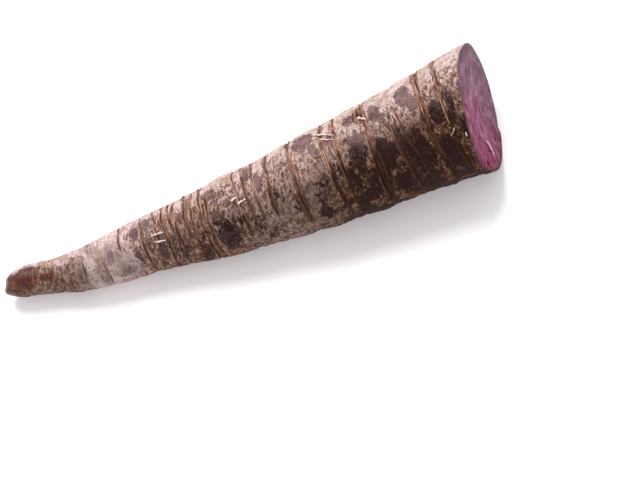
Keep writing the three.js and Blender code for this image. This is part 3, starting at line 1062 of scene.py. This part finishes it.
def rootlet():
    """Pale dried rootlet, pinkish-cream with brown specks."""
    r = Recipe("rootlet")
    speck = r.noise(r.own_place(), 900, 4, 0.6)
    colour = r.blend(r.step(speck, 0.45, 0.68), ROOTLET_CREAM, ROOTLET_BROWN)
    return r.finish(colour, 0.75, r.product(speck, 0.15), Specular_IOR_Level=0.1)


# THREAD_DIM is for threads on the underside, dark with painted shade.
THREAD_TAN = (0.5, 0.31, 0.22)
THREAD_RUST = (0.2, 0.08, 0.045)
THREAD_DIM = (0.07, 0.026, 0.016)
THREAD_SPECK = (0.13, 0.065, 0.045)


def skin_thread():
    """Frayed thread of skin, from tan to rust by its shade, and dim on the underside: dark skin and
    painted shade.
    """
    r = Recipe("skin_thread")
    speck = r.noise(r.own_place(), 700, 4, 0.6)
    shade = r.field("shade")
    colour = r.blend(r.step(shade, 0.2, 0.9), THREAD_TAN, THREAD_RUST)
    colour = r.blend(r.step(shade, 0.9, 1.6), colour, THREAD_DIM)
    colour = r.blend(r.product(r.step(speck, 0.5, 0.62), 0.7), colour, THREAD_SPECK)
    return r.finish(colour, 0.8, r.product(speck, 0.15), Specular_IOR_Level=0.08)


FLOOR_WHITE = (0.89, 0.885, 0.89)
FLOOR_SHADE = (0.87, 0.86, 0.87)
# The paper's glow is painted light from a part that is no lamp: it lightens the root's shadow.
FLOOR_GLOW = (1.0, 0.94, 0.98)
FLOOR_GLOW_STRENGTH = 0.2


def pale_floor():
    """Plain white paper, very faintly clouded, that glows a little: painted light that lightens the
    root's shadow on it and the root's underside.
    """
    r = Recipe("pale_floor")
    tint = r.noise(r.own_place(), 6, 2)
    colour = r.blend(r.step(tint, 0.3, 0.7), FLOOR_SHADE, FLOOR_WHITE)
    glow = {"Emission_Color": FLOOR_GLOW, "Emission_Strength": FLOOR_GLOW_STRENGTH}
    return r.finish(colour, 0.7, **glow)


# ---- floor, light and camera

# The floor's half width in metres, and how far it lies below the table in millimetres.
FLOOR_HALF = 3.0
FLOOR_DROP = 0.05
# The lamp: which way it lies from the root, how far off and how wide in metres, and its power.
KEY_FROM = Vector((-0.05, 0.5, 0.86))
KEY_DISTANCE = 1.3
KEY_SIZE = 0.8
KEY_WATTS = 17.0
SKY_STRENGTH = 0.8
# The camera: its direction from the root, its roll about the line of sight, its distance, and how
# far the line of sight passes beside the root's middle and above the table, in metres.
VIEW_AZIMUTH = np.radians(11)
VIEW_ELEVATION = np.radians(60)
VIEW_ROLL = np.radians(-27.5)
VIEW_DISTANCE = 0.9455
VIEW_OFFSET = (0.02978, -0.0203)
VIEW_HEIGHT = 0.022
LENS = 135.0


def floor():
    """A square of paper, just below the table's height so that it does not touch the root."""
    corners = np.array([(-1, -1, 0), (1, -1, 0), (1, 1, 0), (-1, 1, 0)]) * FLOOR_HALF
    corners = corners + (0, 0, -FLOOR_DROP * MM)
    obj = build_mesh("floor", corners, [np.array([[0, 1, 2, 3]])])
    obj.data.materials.append(pale_floor())


def lights():
    """One large soft lamp above and behind the root, and an even pale sky."""
    lamp = bpy.data.lights.new("key_softbox", "AREA")
    lamp.shape = "DISK"
    lamp.size = KEY_SIZE
    lamp.energy = KEY_WATTS
    holder = bpy.data.objects.new("key_softbox", lamp)
    holder.location = KEY_FROM.normalized() * KEY_DISTANCE
    holder.rotation_euler = KEY_FROM.to_track_quat("Z", "Y").to_euler()
    bpy.context.scene.collection.objects.link(holder)
    world = bpy.data.worlds.new("pale_sky")
    world.use_nodes = True
    sky = world.node_tree.nodes["Background"]
    sky.inputs["Color"].default_value = (1, 0.99, 1, 1)
    sky.inputs["Strength"].default_value = SKY_STRENGTH
    bpy.context.scene.world = world
    bpy.context.scene.view_settings.view_transform = "Standard"


def camera():
    """The camera looks down on the root, turned about its line of sight."""
    back = Vector((
        np.sin(VIEW_AZIMUTH) * np.cos(VIEW_ELEVATION),
        -np.cos(VIEW_AZIMUTH) * np.cos(VIEW_ELEVATION),
        np.sin(VIEW_ELEVATION),
    ))
    level = Vector((np.cos(VIEW_AZIMUTH), np.sin(VIEW_AZIMUTH), 0))
    above = back.cross(level)
    right = level * np.cos(VIEW_ROLL) + above * np.sin(VIEW_ROLL)
    up = above * np.cos(VIEW_ROLL) - level * np.sin(VIEW_ROLL)
    place = Vector((0, 0, VIEW_HEIGHT)) + back * VIEW_DISTANCE
    place += right * VIEW_OFFSET[0] + up * VIEW_OFFSET[1]
    data = bpy.data.cameras.new("camera")
    data.lens = LENS
    data.sensor_width = 36
    data.clip_start = 0.05
    data.clip_end = 20
    obj = bpy.data.objects.new("camera", data)
    turned = Matrix((right, up, back)).transposed().to_4x4()
    obj.matrix_world = Matrix.Translation(place) @ turned
    bpy.context.scene.collection.objects.link(obj)
    bpy.context.scene.camera = obj


camera()
lights()
floor()

carrot = carrot_body()
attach(carrot, "root")
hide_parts("carrot_root")

stubs = rootlet_stubs()
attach(stubs, "root")

threads = crease_threads()
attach(threads, "root")
